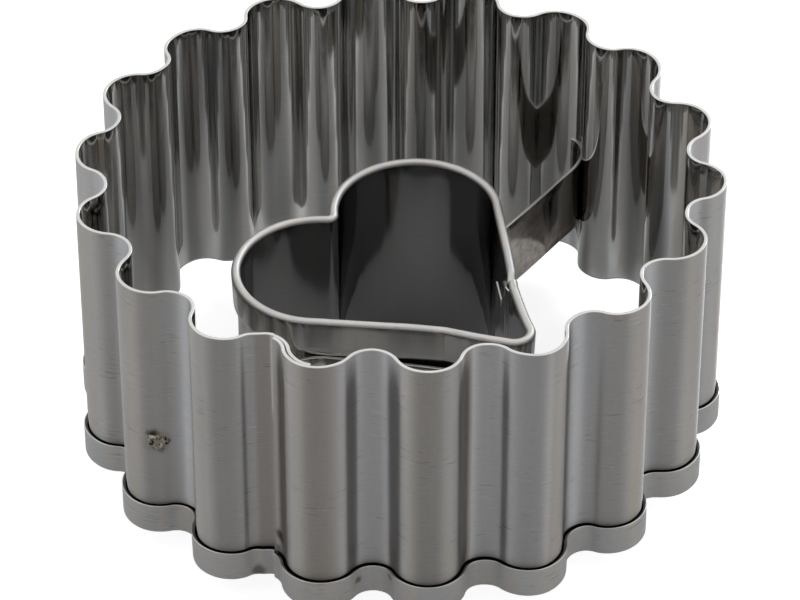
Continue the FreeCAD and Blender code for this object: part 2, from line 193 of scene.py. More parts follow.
# %% Table
TABLE_GREY = 0.62
TABLE_REACH = 3.0
TABLE_DROP = 0.00002
CAMERA_LIFT = 0.7
MIRRORED_LIFT = 0.0

table_mesh = bpy.data.meshes.new("table")
corners = [(x * TABLE_REACH, y * TABLE_REACH, -TABLE_DROP) for x, y in ((-1, -1), (1, -1), (1, 1), (-1, 1))]
table_mesh.from_pydata(corners, [], [(0, 1, 2, 3)])
table = bpy.data.objects.new("table", table_mesh)
scene.collection.objects.link(table)
table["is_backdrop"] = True

material, nodes, links, output = new_material("pale_table")
tree = material.node_tree
matt = set_inputs(nodes.new("ShaderNodeBsdfDiffuse"), Color=(TABLE_GREY, TABLE_GREY, TABLE_GREY, 1))
glow = set_inputs(nodes.new("ShaderNodeEmission"), Color=(1, 1, 1, 1))
ray = nodes.new("ShaderNodeLightPath").outputs
seen = maths(tree, "MULTIPLY", ray["Is Camera Ray"], CAMERA_LIFT)
links.new(maths(tree, "MULTIPLY_ADD", ray["Is Glossy Ray"], MIRRORED_LIFT, seen), glow.inputs["Strength"])
both = nodes.new("ShaderNodeAddShader")
links.new(matt.outputs[0], both.inputs[0])
links.new(glow.outputs[0], both.inputs[1])
links.new(both.outputs[0], output.inputs["Surface"])
table_mesh.materials.append(material)
print("table:", TABLE_REACH * 2, "m across")

# %% World
ROOM_LIT = (0.99, 1.0, 1.015)
ROOM_DARK = (0.07, 0.045, 0.025)
DARK_SIDE = (-0.713, -0.701, 0.0)
DARK_EDGE, DARK_CORE = 0.40, 0.88

world = bpy.data.worlds.new("studio")
scene.world = world
world.use_nodes = True
tree = world.node_tree
nodes, links = tree.nodes, tree.links
nodes.clear()
output = nodes.new("ShaderNodeOutputWorld")
direction = nodes.new("ShaderNodeTexCoord")
facing = nodes.new("ShaderNodeVectorMath")
facing.operation = "DOT_PRODUCT"
facing.inputs[1].default_value = DARK_SIDE
links.new(direction.outputs["Generated"], facing.inputs[0])
room = nodes.new("ShaderNodeBackground")
toward_dark = ramp(tree, facing.outputs["Value"], DARK_EDGE, DARK_CORE)
links.new(mixed(tree, toward_dark, ROOM_LIT, ROOM_DARK), room.inputs["Color"])
white = set_inputs(nodes.new("ShaderNodeBackground"), Color=(1, 1, 1, 1), Strength=1.0)
choose = nodes.new("ShaderNodeMixShader")
links.new(nodes.new("ShaderNodeLightPath").outputs["Is Camera Ray"], choose.inputs[0])
links.new(room.outputs[0], choose.inputs[1])
links.new(white.outputs[0], choose.inputs[2])
links.new(choose.outputs[0], output.inputs["Surface"])
print("room: dark towards", DARK_SIDE)


# %% Lamps
def softbox(name, place, aim, width, height, watts, colour):
    """A rectangular area lamp at a place, turned to its aim."""
    data = bpy.data.lights.new(name, "AREA")
    data.shape = "RECTANGLE"
    data.size, data.size_y = width, height
    data.energy = watts
    data.color = colour
    lamp = bpy.data.objects.new(name, data)
    lamp.location = place
    lamp.rotation_mode = "QUATERNION"
    lamp.rotation_quaternion = (Vector(aim) - Vector(place)).to_track_quat("-Z", "Y")
    scene.collection.objects.link(lamp)


softbox("overhead", place=(0.12, 0.12, 0.55), aim=(0.12, 0.12, 0), width=1.05, height=1.05, watts=0.5,
        colour=(1.0, 0.985, 0.965))
softbox("cool_side", place=(0.52, 0.07, 0.29), aim=(0, 0, 0), width=0.16, height=0.12, watts=0.85,
        colour=(0.86, 0.93, 1.0))
print("lamps:", [item.name for item in bpy.data.lights])

# %% [markdown]
# Paths in plan
#
# Each strip follows a path of straight runs and arcs that meet smoothly. A path is a list of such
# pieces, and sampling one gives three arrays: points, normals to the left of travel, and distance
# travelled. On an arc the point is centre + radius * (cos a, sin a), and the normal is the same
# direction, inward on a left turn and outward on a right turn.

# %% Path pieces
def polar(radius, degrees, centre=(0.0, 0.0)):
    """The point at a radius and an angle about a centre."""
    turn = math.radians(degrees)
    return (centre[0] + radius * math.cos(turn), centre[1] + radius * math.sin(turn))


def bearing(start, end):
    """The direction from one point to another."""
    return math.degrees(math.atan2(end[1] - start[1], end[0] - start[0]))


def meet(first, first_direction, second, second_direction):
    """The point where two lines cross."""
    a, b = np.array(polar(1, first_direction)), np.array(polar(1, second_direction))
    along = np.linalg.solve(np.stack([a, -b], 1), np.subtract(second, first))[0]
    return tuple(np.array(first) + along * a)


def ends(piece):
    """The first and last points of a piece."""
    if piece[0] == "line":
        return piece[1], piece[2]
    _, centre, radius, start, end = piece
    return polar(radius, start, centre), polar(radius, end, centre)


def turned(piece, degrees):
    """The piece, turned about the origin."""
    _, centre, radius, start, end = piece
    middle = polar(math.hypot(*centre), bearing((0, 0), centre) + degrees)
    return ("arc", middle, radius, start + degrees, end + degrees)


def sample(path, step):
    """Points, left normals and distances along a path, at about a step apart."""
    points, normals, spans = [], [], []
    for piece in path:
        if piece[0] == "line":
            first, last = np.array(piece[1]), np.array(piece[2])
            length = np.linalg.norm(last - first)
            share = np.linspace(0, 1, max(2, math.ceil(length / step) + 1))[:, None]
            along = first + share * (last - first)
            side = np.array([first[1] - last[1], last[0] - first[0]]) / length
            left = np.repeat(side[None], len(along), 0)
        else:
            _, centre, radius, start, end = piece
            length = radius * math.radians(abs(end - start))
            angle = np.radians(np.linspace(start, end, max(2, math.ceil(length / step) + 1)))
            ray = np.stack([np.cos(angle), np.sin(angle)], 1)
            along = np.array(centre) + radius * ray
            left = ray * (-1 if end > start else 1)
        keep = slice(1 if points else 0, None)
        points.append(along[keep])
        normals.append(left[keep])
    points, normals = np.concatenate(points), np.concatenate(normals)
    gaps = np.linalg.norm(np.diff(points, axis=0), axis=1)
    return points, normals, np.concatenate([[0], np.cumsum(gaps)])


# %% [markdown]
# Sections of the strips
#
# A section is a closed outline in two directions: across the strip, outwards from its middle, and
# up. A folded edge is a half circle round the gap, and a sheared edge has its corners rounded by a
# few hundredths of a millimetre, which is what catches the light along every rim. The lip of a hem
# slopes a little to a burr. Each stretch of the outline carries the finish that it will wear.

# %% Sections
# The gap finish, inside a hem and behind its lip, is painted shade: a near-black colour.
OUTSIDE, INSIDE, RAW, FOLD, GAP, HEM = range(6)
EDGE_ROUND, EDGE_POINTS = 0.05, 5
BURR_SLOPE, BURR_POINTS = 0.2, 4
BURR = np.array([HEM] + [RAW] * BURR_POINTS)
FOLD_POINTS = 15
GAP_TOP, GAP_ROWS, HEM_ROWS = 0.08, 5, 8
SAME_POINT = 1e-9


def sheared_edge(start, end, height, up):
    """Two quarter circles from one face, over the cut edge, to the other face."""
    turn = np.linspace(0, math.pi / 2, EDGE_POINTS)
    toward = math.copysign(EDGE_ROUND, end - start)
    rise = height + up * EDGE_ROUND * (np.sin(turn) - 1)
    first = np.stack([start + toward * (1 - np.cos(turn)), rise], 1)
    last = np.stack([end - toward * (1 - np.cos(turn)), rise], 1)[::-1]
    return np.concatenate([first, last])


def burred_edge(start, end, height, up):
    """A cut edge that slopes up from one face to a thin bright burr at the other."""
    turn = np.linspace(0, math.pi / 2, BURR_POINTS)[::-1]
    burr = np.stack([end - EDGE_ROUND * (1 - np.cos(turn)), height + up * EDGE_ROUND * (np.sin(turn) - 1)], 1)
    return np.concatenate([[[start, height - up * BURR_SLOPE]], burr])


def straight(across, start, end, count, last=None):
    """Evenly spaced points up or down a face, which may lean to another distance at its end."""
    return np.stack([np.linspace(across, across if last is None else last, count),
                     np.linspace(start, end, count)], 1)


def section(stretches):
    """Join stretches of (points, finish) into one closed outline and the finish of each side."""
    outline = np.concatenate([points for points, _ in stretches])
    finishes = np.concatenate([np.zeros(len(points), int) + finish for points, finish in stretches])
    kept = np.linalg.norm(outline - np.roll(outline, -1, 0), axis=1) > SAME_POINT
    return outline[kept], finishes[kept]


def flat_section(thickness, foot, top, rows):
    """A plain strip on edge, cut at both edges."""
    half = thickness / 2
    low, high = foot + EDGE_ROUND, top - EDGE_ROUND
    return section([
        (straight(-half, low, high, rows), INSIDE),
        (sheared_edge(-half, half, top, 1), RAW),
        (straight(half, high, low, rows), OUTSIDE),
        (sheared_edge(half, -half, foot, -1), RAW),
    ])


def hemmed_section(fold, raw, hem, rows, fold_gap=HEM_GAP):
    """A strip whose one edge is cut and whose other is folded back on the outside."""
    half, up = STRIP / 2, math.copysign(1, raw - fold)
    near, far = half + HEM_GAP, half + HEM_GAP + STRIP
    wide, radius = half + fold_gap, STRIP + fold_gap / 2
    bend, lip = fold + up * radius, fold + up * hem
    turn = np.linspace(0, math.pi, FOLD_POINTS + 2)[1:-1]
    middle = (wide + STRIP - half) / 2
    fold_arc = np.stack([middle + radius * np.cos(turn), bend - up * radius * np.sin(turn)], 1)
    return section([
        (straight(-half, bend, raw - up * EDGE_ROUND, rows), INSIDE),
        (sheared_edge(-half, half, raw, up), RAW),
        (straight(half, raw - up * EDGE_ROUND, lip - up * GAP_TOP, rows), OUTSIDE),
        (straight(half, lip - up * GAP_TOP, bend, GAP_ROWS), GAP),
        (straight(wide, bend, lip - up * BURR_SLOPE, HEM_ROWS, near), GAP),
        (burred_edge(near, far, lip, up), BURR),
        (straight(far, lip - up * EDGE_ROUND, bend, HEM_ROWS, wide + STRIP), HEM),
        (fold_arc, FOLD),
    ])


# %% [markdown]
# Carrying a section along a path
#
# Every strip is the same surface: point(i, j) = path(i) + outward(i) * across(i, j), at height(i, j).
# The across and height arrays may change along the path, which is how a lap steps inward or a lip
# opens. The grid wraps round the section, and two flat caps close its ends.

# %% The strip's grid
def lattice(rows, sides):
    """The row, side and corner numbers of each quad of a grid that wraps round its sides."""
    i, j = np.meshgrid(np.arange(rows - 1), np.arange(sides), indexing="ij")
    k = (j + 1) % sides
    return i, j, np.stack([i * sides + j, (i + 1) * sides + j, (i + 1) * sides + k, i * sides + k], -1)


def enclosed(corners, quads):
    """Six times the volume inside the quads: the sum of a . (b x c) + a . (c x d)."""
    a, b, c, d = (corners[quads[..., n].ravel()] for n in range(4))
    return (np.einsum("ij,ij->i", a, np.cross(b, c)) + np.einsum("ij,ij->i", a, np.cross(c, d))).sum()


def strip_map(spans, across, height, i, j):
    """The UV place of each quad's corners, in metres: along the strip, and round its section."""
    steps = np.linalg.norm(np.diff(np.stack([across, height], 1), axis=0), axis=1)
    around = np.concatenate([[0], np.cumsum(steps)])
    around = np.append(around, around[-1] + 1)
    u = np.stack([spans[i], spans[i + 1], spans[i + 1], spans[i]], -1)
    v = np.stack([around[j], around[j], around[j + 1], around[j + 1]], -1)
    return np.stack([u, v], -1) * MM


# %% Strip surfaces
SHARP = math.radians(50)


def placed(name, mesh):
    """The mesh as an object that rides with the cutter."""
    piece = bpy.data.objects.new(name, mesh)
    scene.collection.objects.link(piece)
    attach(piece, "root")
    return piece


def carried(name, points, outward, across, height, finishes, materials, spans, crest=None):
    """A closed strip: a section carried along a path, in millimetres, with caps at both ends."""
    count, sides = across.shape
    vertices = np.empty((count, sides, 3))
    vertices[..., :2] = points[:, None] + outward[:, None] * across[..., None]
    vertices[..., 2] = height
    flat = vertices.reshape(-1, 3) * MM
    i, j, quads = lattice(count, sides)
    uv = strip_map(spans, across[0], height[0], i, j)
    caps = [list(range(sides)), list(range((count - 1) * sides, count * sides))]
    inside_out = enclosed(flat, quads) < 0
    if inside_out:
        quads, uv = quads[..., ::-1], uv[:, :, ::-1]
    caps[0 if inside_out else 1].reverse()
    mesh = bpy.data.meshes.new(name)
    mesh.from_pydata(flat.tolist(), [], quads.reshape(-1, 4).tolist() + caps)
    tags = np.concatenate([np.tile(finishes, count - 1), [RAW, RAW]]).astype(np.int32)
    mesh.polygons.foreach_set("material_index", tags)
    uv = np.concatenate([uv.reshape(-1, 2), np.zeros((2 * sides, 2))])
    mesh.uv_layers.new(name="strip").data.foreach_set("uv", uv.ravel().astype(np.float32))
    if crest is not None:
        mesh.attributes.new("crest", "FLOAT", "POINT").data.foreach_set("value", np.repeat(crest, sides))
    for finish in materials:
        mesh.materials.append(finish)
    mesh.shade_smooth()
    mesh.set_sharp_from_angle(angle=SHARP)
    print(name, "triangles:", 2 * quads.size // 4 + 2 * sides)
    return placed(name, mesh)


# %% [markdown]
# Hand-bent strip is never quite even
#
# In the photograph some flutes are deeper than others and the walls ripple a little, which breaks
# the reflections into streaks. Flutes are pushed in or out by smooth bumps,
# shift * exp(-((angle - centre) / width)^2), and the walls get a few long sine waves whose
# crests lean, a hundredth of a millimetre high. The lip of the hem stands open in some places, and
# a few flanks get painted shade or painted light, darker or lighter than the wave of the flutes
# alone would make them.

# %% Unevenness
RIPPLE_LENGTHS = (0.9, 1.4, 2.3, 3.7, 6.1)
RIPPLE_LEANS = (25, 90)
WAVE_TURN = 6.28


def bumps(angle, width, pushes):
    """The push at each angle, in millimetres, from a dictionary of centre to height."""
    centres, heights = np.array(list(pushes)), np.array(list(pushes.values()))
    gap = (angle[:, None] - centres + 180) % 360 - 180
    return (heights * np.exp(-(gap / width) ** 2)).sum(1)


def remeasured(points):
    """Distances along plan points and their left normals."""
    gaps = np.linalg.norm(np.diff(points, axis=0), axis=1)
    spans = np.concatenate([[0], np.cumsum(gaps)])
    along = np.gradient(points, spans, axis=0)
    along /= np.linalg.norm(along, axis=1)[:, None]
    return spans, np.stack([-along[:, 1], along[:, 0]], 1)


def ripple(spans, height, slope, seed, lengths=RIPPLE_LENGTHS):
    """Sum of sine waves along the strip: slope * length / 2 pi * sin(2 pi (s / length + z / lean))."""
    chance = np.random.default_rng(seed)
    total = np.zeros(height.shape)
    for length in lengths:
        lean = chance.choice([-1, 1]) * chance.uniform(*RIPPLE_LEANS)
        phase = spans[:, None] / length + height / lean + chance.uniform(0, 1)
        total += slope * length / WAVE_TURN / len(lengths) ** 0.5 * np.sin(2 * np.pi * phase)
    return total


# %% [markdown]
# Rolled stainless
#
# The strip is cold-rolled stainless with a satin skin. Its grain runs along the strip, so in every
# upright wall the scratches are level lines, and reflections smear up and down but stay crisp
# sideways. A group makes that grain from noise on the strip's own UV map, stretched along the strip,
# with patches of handling haze and upright streaks, and the same group serves every finish with its
# own values. It can also paint broad upright stripes of light and shade into the colour, which the
# inside wears as painted reflections. On the ring's outside the hollows between the flutes are
# painted a lighter, cooler tone than the crests, a painted reflection: the attribute named crest is
# 1 on a crest and 0 in a hollow, and on a few flanks it also carries painted shade or painted light.

# %% Noise
def noise(tree, coordinates, scale, detail, roughness):
    """Noise on coordinates with a scale in each direction, in features a metre."""
    mapping = set_inputs(tree.nodes.new("ShaderNodeMapping"), Scale=scale)
    texture = set_inputs(tree.nodes.new("ShaderNodeTexNoise"), Scale=1.0, Detail=detail, Roughness=roughness)
    tree.links.new(coordinates, mapping.inputs["Vector"])
    tree.links.new(mapping.outputs[0], texture.inputs["Vector"])
    return texture.outputs["Fac"]


def even(tree, features, detail, roughness):
    """Noise on Object coordinates, with so many features a metre every way."""
    place = tree.nodes.new("ShaderNodeTexCoord")
    return noise(tree, place.outputs["Object"], (features, features, features), detail, roughness)


def rolled(tree, along, up, detail, roughness):
    """Noise on the strip's own UV map, with so many features a metre along it and up it."""
    place = tree.nodes.new("ShaderNodeUVMap")
    place.uv_map = "strip"
    return noise(tree, place.outputs["UV"], (along, up, 1), detail, roughness)


def centred(tree, value, gain):
    """gain * (value - 0.5)."""
    return maths(tree, "MULTIPLY", maths(tree, "SUBTRACT", value, 0.5), gain)


def added(tree, first, *others):
    """The sum of some values."""
    for other in others:
        first = maths(tree, "ADD", first, other)
    return first


# %% Skin group
def group(name, inputs, outputs):
    """An empty node group with its sockets: a name to a default value, or to a socket type."""
    tree = bpy.data.node_groups.new(name, "ShaderNodeTree")
    for socket, value in inputs.items():
        kind = "NodeSocketFloat" if isinstance(value, float) else "NodeSocketVector"
        tree.interface.new_socket(socket, in_out="INPUT", socket_type=kind).default_value = value
    for socket, kind in outputs.items():
        tree.interface.new_socket(socket, in_out="OUTPUT", socket_type="NodeSocket" + kind)
    return tree, tree.nodes.new("NodeGroupInput").outputs, tree.nodes.new("NodeGroupOutput").inputs


# Each noise: features a metre along the strip and up it, detail, and the share of the fine octaves.
FINE, COARSE, GRAIN = (650, 8200, 2.0, 0.55), (520, 6000, 2.0, 0.5), (2600, 7000, 2.0, 0.6)
HAZE, STREAK, PATCH = (160, 60, 3.0, 0.6), (900, 14, 3.0, 0.6), (260, 240, 2.0, 0.5)
BROAD = (330, 18, 1.0, 0.5)
DARK_LINE, DARK_PATCH, BAND_EDGE = (0.62, 0.70), (0.42, 0.62), (0.42, 0.58)
LIGHT_LINE, LIGHT_PATCH, LIGHT_GAIN = (0.64, 0.74), (0.35, 0.58), 0.7
GRAIN_GAIN = 0.4
LINE_SHADE, STREAK_SHADE, CLOUD_ROUGHNESS, LINE_HEIGHT = 0.36, 0.35, 0.4, 0.2
STREAK_WARMTH = 2.0


def skin_group():
    """Level scratches, haze, upright streaks and painted stripes of light and shade: a shade, a warmth, a
    roughness and a height.
    """
    tree, given, result = group(
        "rolled_skin", {"Roughness": 0.3, "Haze": 0.1, "Scratches": 1.0, "Streaks": 0.5, "Bands": 0.0},
        {"Shade": "Float", "Warmth": "Float", "Roughness": "Float", "Height": "Float"})
    fine, coarse, grain, haze, streak, patch, broad = (
        rolled(tree, *kind) for kind in (FINE, COARSE, GRAIN, HAZE, STREAK, PATCH, BROAD))
    dark = maths(tree, "MULTIPLY", ramp(tree, coarse, *DARK_LINE), ramp(tree, patch, *DARK_PATCH))
    light = maths(tree, "MULTIPLY", ramp(tree, fine, *LIGHT_LINE), ramp(tree, patch, *LIGHT_PATCH))
    lines = maths(tree, "SUBTRACT", maths(tree, "MULTIPLY", light, LIGHT_GAIN), dark)
    lines = added(tree, lines, centred(tree, fine, GRAIN_GAIN), centred(tree, grain, GRAIN_GAIN))
    lines = maths(tree, "MULTIPLY", lines, given["Scratches"])
    clouds = centred(tree, haze, given["Haze"])
    upright = centred(tree, streak, given["Streaks"])
    # Painted light and painted shade: broad upright stripes laid into the colour, as strong as the bands
    # input says.
    painted_band_light = centred(tree, ramp(tree, broad, *BAND_EDGE), given["Bands"])
    shade = added(tree, maths(tree, "MULTIPLY", lines, LINE_SHADE), clouds,
                  maths(tree, "MULTIPLY", upright, STREAK_SHADE), painted_band_light)
    tree.links.new(maths(tree, "ADD", 1.0, shade), result["Shade"])
    tree.links.new(centred(tree, streak, STREAK_WARMTH), result["Warmth"])
    tree.links.new(added(tree, given["Roughness"], maths(tree, "MULTIPLY", clouds, CLOUD_ROUGHNESS)),
                   result["Roughness"])
    tree.links.new(added(tree, maths(tree, "MULTIPLY", lines, LINE_HEIGHT), upright), result["Height"])
    print("skin group:", len(tree.nodes), "nodes")
    return tree


# %% Stain and painted shade group
STAIN_NOISE, STAIN_RAG = (1500, 3.0, 0.6), 0.9
STAIN_CORE, STAIN_RIM = 0.75, 1.45


def stain_and_shade_group():
    """A blotch round a point: 1 inside, with a ragged edge, and 0 beyond its radius."""
    tree, given, result = group("stain_and_shade", {"Centre": (0.0, 0.0, 0.0), "Radius": 0.001, "Amount": 1.0},
                                {"Mask": "Float"})
    place, away = tree.nodes.new("ShaderNodeTexCoord"), tree.nodes.new("ShaderNodeVectorMath")
    away.operation = "DISTANCE"
    tree.links.new(place.outputs["Object"], away.inputs[0])
    tree.links.new(given["Centre"], away.inputs[1])
    rag = maths(tree, "MULTIPLY", even(tree, *STAIN_NOISE), STAIN_RAG)
    reach = added(tree, maths(tree, "DIVIDE", away.outputs["Value"], given["Radius"]), rag)
    inside = maths(tree, "SUBTRACT", 1.0, ramp(tree, reach, STAIN_CORE, STAIN_RIM))
    tree.links.new(maths(tree, "MULTIPLY", inside, given["Amount"]), result["Mask"])
    print("stain group:", len(tree.nodes), "nodes")
    return tree


SKIN, STAIN_AND_SHADE = skin_group(), stain_and_shade_group()


# %% Steel
GRAIN_TURN = 0.25
COOLER, WARMER, WARM_GAIN = (0.97, 1.0, 1.04), (1.04, 1.0, 0.95), 1.5
RELIEF, RELIEF_DEPTH = 0.3, 0.00001


def steel(name, colour, roughness, anisotropy, haze=0.08, scratches=1.0, streaks=0.3, painted_bands=0.0,
          hollow=None, stains_and_shade=()):
    """A stainless finish: one metal with the rolled skin, heat marks, blotches of painted shade, and a
    lighter tone for its hollows that is painted reflection.
    """
    material, nodes, links, output = new_material(name)
    tree = material.node_tree
    metal = set_inputs(nodes.new("ShaderNodeBsdfPrincipled"), Metallic=1.0, Anisotropic=anisotropy,
                       Anisotropic_Rotation=GRAIN_TURN)
    skin = nodes.new("ShaderNodeGroup")
    skin.node_tree = SKIN
    set_inputs(skin, Roughness=roughness, Haze=haze, Scratches=scratches, Streaks=streaks, Bands=painted_bands)
    cooler, warmer = (tuple(c * tint for c, tint in zip(colour, tints)) for tints in (COOLER, WARMER))
    warmth = maths(tree, "ADD", maths(tree, "MULTIPLY", skin.outputs["Warmth"], WARM_GAIN), 0.5)
    tone = mixed(tree, warmth, cooler, warmer)
    # Painted reflection: the crest attribute mixes the tone towards a lighter colour in the hollows.
    if hollow:
        reflection_tone_mask = nodes.new("ShaderNodeAttribute")
        reflection_tone_mask.attribute_name = "crest"
        tone = mixed(tree, reflection_tone_mask.outputs["Fac"], hollow, tone)
    shaded = nodes.new("ShaderNodeVectorMath")
    shaded.operation = "SCALE"
    links.new(tone, shaded.inputs[0])
    links.new(skin.outputs["Shade"], shaded.inputs["Scale"])
    base = shaded.outputs[0]
    for place, radius, amount, brown in stains_and_shade:
        blotch = nodes.new("ShaderNodeGroup")
        blotch.node_tree = STAIN_AND_SHADE
        set_inputs(blotch, Centre=tuple(v * MM for v in place), Radius=radius * MM, Amount=amount)
        base = mixed(tree, blotch.outputs["Mask"], base, brown)
    relief = set_inputs(nodes.new("ShaderNodeBump"), Strength=RELIEF, Distance=RELIEF_DEPTH)
    along = nodes.new("ShaderNodeTangent")
    along.direction_type = "UV_MAP"
    along.uv_map = "strip"
    links.new(base, metal.inputs["Base Color"])
    links.new(skin.outputs["Roughness"], metal.inputs["Roughness"])
    links.new(skin.outputs["Height"], relief.inputs["Height"])
    links.new(relief.outputs[0], metal.inputs["Normal"])
    links.new(along.outputs[0], metal.inputs["Tangent"])
    links.new(metal.outputs[0], output.inputs["Surface"])
    return material


# %% Finishes
SOOT, STRAW, SPLASH = (0.035, 0.03, 0.025), (0.20, 0.165, 0.12), (0.7, 0.69, 0.67)
# A dark colour for painted shade on the right arm.
ARM_SHADE_COLOUR = (0.12, 0.105, 0.09)

# Each stain, and each blotch of painted shade: its centre and radius in millimetres, how strong it is, and
# its colour.
WELD_STAINS = [((-24.0, 2.25, 11.75), 0.7, 1.0, SOOT), ((-23.9, 1.5, 10.35), 0.6, 1.0, SOOT),
               ((-23.9, 2.0, 11.1), 1.5, 0.35, STRAW)]
SEAM_STAINS = [((-20.98, -8.62, 6.6), 0.9, 0.8, SOOT), ((-21.2, -8.2, 5.2), 0.6, 0.6, SOOT)]
HEM_STAINS = [((-22.1, -7.0, 2.8), 0.8, 0.6, SOOT), ((-18.6, -14.0, 3.9), 0.5, 0.6, SOOT),
              ((-17.0, -16.0, 4.4), 0.45, 0.5, SOOT)]
INNER_STAINS = [((-18.6, 13.5, 24.1), 1.0, 1.0, SOOT), ((-18.62, 13.5, 24.0), 0.3, 1.0, SPLASH),
                ((-22.38, 6.25, 24.6), 0.75, 1.0, SOOT), ((-22.4, 6.25, 24.6), 0.25, 1.0, SPLASH),
                ((10.04, -20.96, 24.6), 0.7, 1.0, SOOT), ((10.1, -20.96, 24.65), 0.22, 1.0, STRAW),
                ((16.6, -16.2, 24.4), 0.4, 0.9, SOOT), ((24.3, 3.2, 13.8), 0.4, 0.9, SPLASH)]
# On the right arm a wide dark blotch round its ring end is painted shade: the arm darkened where it lies in
# the dim space between the ring and the heart.
ARM_PAINTED_SHADE = [((20.5, 1.2, 12.0), 9.5, 0.9, ARM_SHADE_COLOUR)]

# The ring's outside: the lighter, cooler colour given for its hollows is painted reflection.
outside_steel = steel("satin_outside", (0.43, 0.407, 0.383), roughness=0.45, anisotropy=1.0, haze=0.22,
                      hollow=(0.54, 0.545, 0.553), stains_and_shade=WELD_STAINS + SEAM_STAINS)
# The ring's inner wall gets broad upright stripes of painted light and painted shade, as painted reflections.
inside_steel = steel("bright_inside", (0.53, 0.526, 0.515), roughness=0.08, anisotropy=0.7, haze=0.12,
                     scratches=0.4, streaks=0.5, painted_bands=0.6, stains_and_shade=INNER_STAINS)
raw_steel = steel("sheared_edge", (0.62, 0.61, 0.585), roughness=0.34, anisotropy=0.0, haze=0.3,
                  scratches=0.6)
fold_steel = steel("satin_fold", (0.56, 0.543, 0.52), roughness=0.52, anisotropy=0.0, haze=0.15,
                   scratches=0.8)
heart_outside = steel("heart_outside", (0.44, 0.428, 0.41), roughness=0.16, anisotropy=0.8, haze=0.4,
                      scratches=0.6, streaks=0.8)
# The heart's inner wall is much darker than its outer wall: painted shade for the dim space inside the heart.
heart_inner_shade = steel("heart_inner_shade", (0.27, 0.267, 0.265), roughness=0.12, anisotropy=0.6, scratches=0.3)
arm_steel = steel("arm_steel", (0.46, 0.42, 0.38), roughness=0.09, anisotropy=0.5, haze=0.15,
                  scratches=0.5, stains_and_shade=ARM_PAINTED_SHADE)
# Inside a hem the gap and the wall behind the lip are near black: painted shade for the dark inside of the
# fold.
gap_painted_shade = steel("shadowed_gap", (0.05, 0.045, 0.04), roughness=0.5, anisotropy=0.0)
hem_steel = steel("satin_hem", (0.53, 0.522, 0.51), roughness=0.62, anisotropy=0.0, haze=0.4,
                  stains_and_shade=HEM_STAINS)
RING_FINISHES = [outside_steel, inside_steel, raw_steel, fold_steel, gap_painted_shade, hem_steel]
HEART_FINISHES = [heart_outside, heart_inner_shade, raw_steel, fold_steel, gap_painted_shade, heart_outside]
ARM_FINISHES = [arm_steel, arm_steel, raw_steel]
print("finishes:", [finish.name for finish in (*RING_FINISHES, *HEART_FINISHES[:2], arm_steel)])

# %% [markdown]
# The fluted ring
#
# One flute is a crest arc between two half valleys, all tangent. The valley radius isn't free: it
# is the one that touches the crest arc and stands on the root circle. The strip starts at its outer
# end just past the bottom of a valley, goes once round and comes back to the same valley.

# %% Flute geometry
def flute():
    """The centres, the valley radius and the turning point of the flute that starts on +X."""
    reach = RING_TIP - CREST_RADIUS
    lean = reach * math.cos(math.radians(PITCH / 2))
    valley_radius = ((CREST_RADIUS ** 2 - RING_ROOT ** 2 - reach ** 2 + 2 * lean * RING_ROOT)
                     / (2 * (RING_ROOT - lean - CREST_RADIUS)))
    crest, valley = polar(reach, PITCH / 2), (RING_ROOT + valley_radius, 0.0)
    return crest, valley, valley_radius, bearing(valley, crest)


CREST, VALLEY, VALLEY_RADIUS, LEAVE = flute()
SEAM_VALLEY = PITCH * round(SEAM_ANGLE / PITCH)
SEAM_BEARING = bearing(VALLEY, polar(RING_ROOT, SEAM_ANGLE - SEAM_VALLEY))
SLIT_HALF = math.degrees(SLIT / 2 / VALLEY_RADIUS)
print("valley radius in mm:", round(VALLEY_RADIUS, 2))


def ring_path():
    """Once round the ring, from the strip's outer end back to the same valley."""
    crest = ("arc", CREST, CREST_RADIUS, LEAVE - 180, PITCH + 180 - LEAVE)
    valley = ("arc", VALLEY, VALLEY_RADIUS, 360 - LEAVE, LEAVE)
    first = ("arc", VALLEY, VALLEY_RADIUS, SEAM_BEARING - SLIT_HALF, LEAVE)
    last = ("arc", VALLEY, VALLEY_RADIUS, 360 - LEAVE, SEAM_BEARING + SLIT_HALF)
    path = [turned(first, SEAM_VALLEY), turned(crest, SEAM_VALLEY)]
    for number in range(1, FLUTES):
        path += [turned(valley, SEAM_VALLEY + PITCH * number), turned(crest, SEAM_VALLEY + PITCH * number)]
    return path + [turned(last, SEAM_VALLEY + 360)]


# %% Uneven flutes
# Angle about the axis, in degrees, to millimetres: outwards, along the ring, and out at a crease.
PUSHED = {-170: -0.02, -160: 0.35, -150: 0.08, -120: 0.12, -110: 0.18, -100: 0.1, -90: -0.1, -80: -0.25,
          -70: -0.1, -60: 0.12, -20: -0.3, -10: -0.06, 0: 0.2, 10: -0.12, 80: 0.28, 90: -0.06, 100: 0.35,
          110: 0.1, 120: 0.12, 130: -0.25, 150: -0.08, 160: -0.08}
SLID = {-180: 0.1, -160: -0.15, -150: -0.1, -100: 0.1, -90: 0.2, -80: 0.1, -70: 0.25, -60: 0.15, -50: 0.1,
        -40: -0.25, -20: -0.2, -10: 0.25, 0: 0.2, 20: 0.1, 80: -0.15, 90: -0.3, 100: -0.3, 110: -0.3,
        120: -0.3, 130: -0.25, 150: -0.1}
CREASED = {-166.5: -0.03, -162.5: 0.08, -118.2: 0.06, -113.8: -0.05}
LIP_OPEN = {-175: 0.05, -160: 0.14, -152: 0.08, -140: 0.10, -122: 0.08, -118: 0.06, -100: 0.10, -76: 0.05,
            -60: 0.10, -40: 0.06, 30: 0.08, 60: 0.05, 120: 0.08, 140: 0.06, 160: 0.08}
BEND_REACH, CREASE_REACH, LIP_REACH = 6.0, 2.5, 5.0
